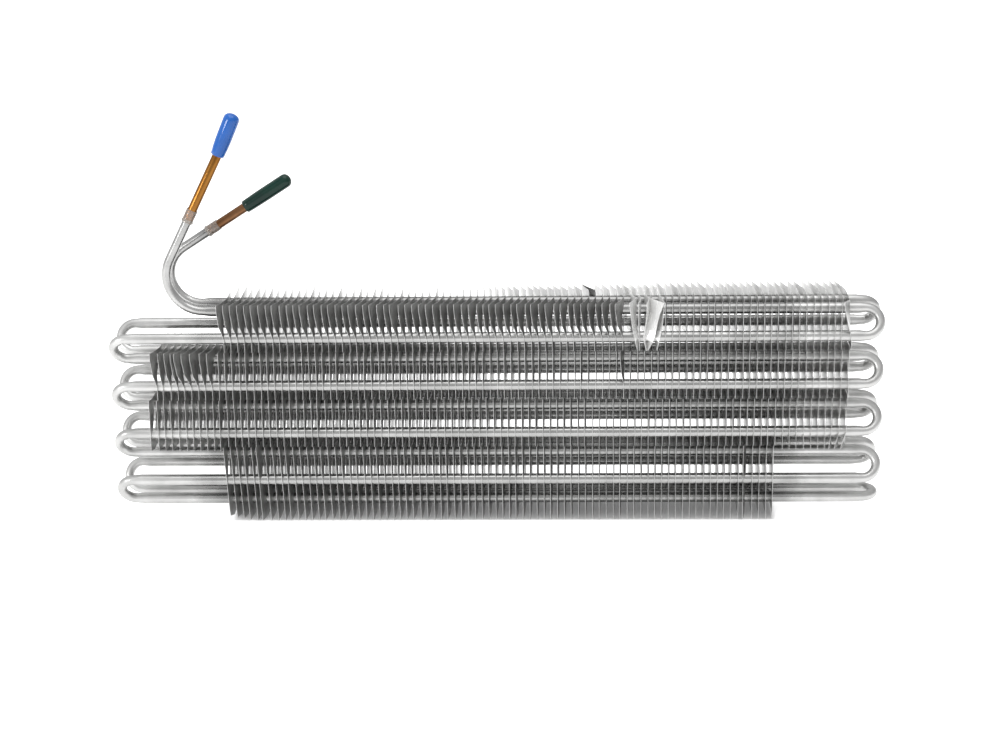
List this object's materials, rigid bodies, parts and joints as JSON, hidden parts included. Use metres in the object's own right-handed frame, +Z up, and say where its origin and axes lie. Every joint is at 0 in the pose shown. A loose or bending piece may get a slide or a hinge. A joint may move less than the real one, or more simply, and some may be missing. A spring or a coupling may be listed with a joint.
{
  "type": "refrigerator evaporator coil",
  "caption": "Finned aluminium tube coil for a refrigerator: a doubled serpentine tube in slotted fins, with two capped copper stubs rising at one end.",
  "frame": {"origin": "on the floor that the lowest fins stand on, under the middle of the overall box", "axes": "+X along the tube passes, away from the end with the copper stubs; +Y from the front to the back; +Z up"},
  "size_m": [0.686, 0.0661, 0.3688],
  "materials": {
    "aluminium_tube": "mill finish, satin",
    "fin_foil": "bright rolled foil",
    "copper": "drawn copper, lightly tarnished",
    "joint_sleeve": "shrunk clear grey sleeve",
    "blue_vinyl": "dipped vinyl, semi-gloss",
    "green_vinyl": "dipped vinyl, semi-gloss"
  },
  "bodies": {
    "root": {"blue_cap": "blue_vinyl", "front_copper_stub": "copper", "front_joint_sleeve": "joint_sleeve", "green_cap": "green_vinyl", "rear_copper_stub": "copper", "rear_joint_sleeve": "joint_sleeve", "row_four_fins_left": "fin_foil", "row_four_fins_middle": "fin_foil", "row_four_fins_right": "fin_foil", "row_one_fins_crushed": "fin_foil", "row_one_fins_inner_left": "fin_foil", "row_one_fins_inner_right": "fin_foil", "row_one_fins_left": "fin_foil", "row_one_fins_right": "fin_foil", "row_three_fins_left": "fin_foil", "row_three_fins_middle": "fin_foil", "row_three_fins_right": "fin_foil", "row_two_fins_exposed": "fin_foil", "row_two_fins_left": "fin_foil", "row_two_fins_middle": "fin_foil", "row_two_fins_right": "fin_foil", "serpentine_tube": "aluminium_tube"}
  },
  "joints": []
}
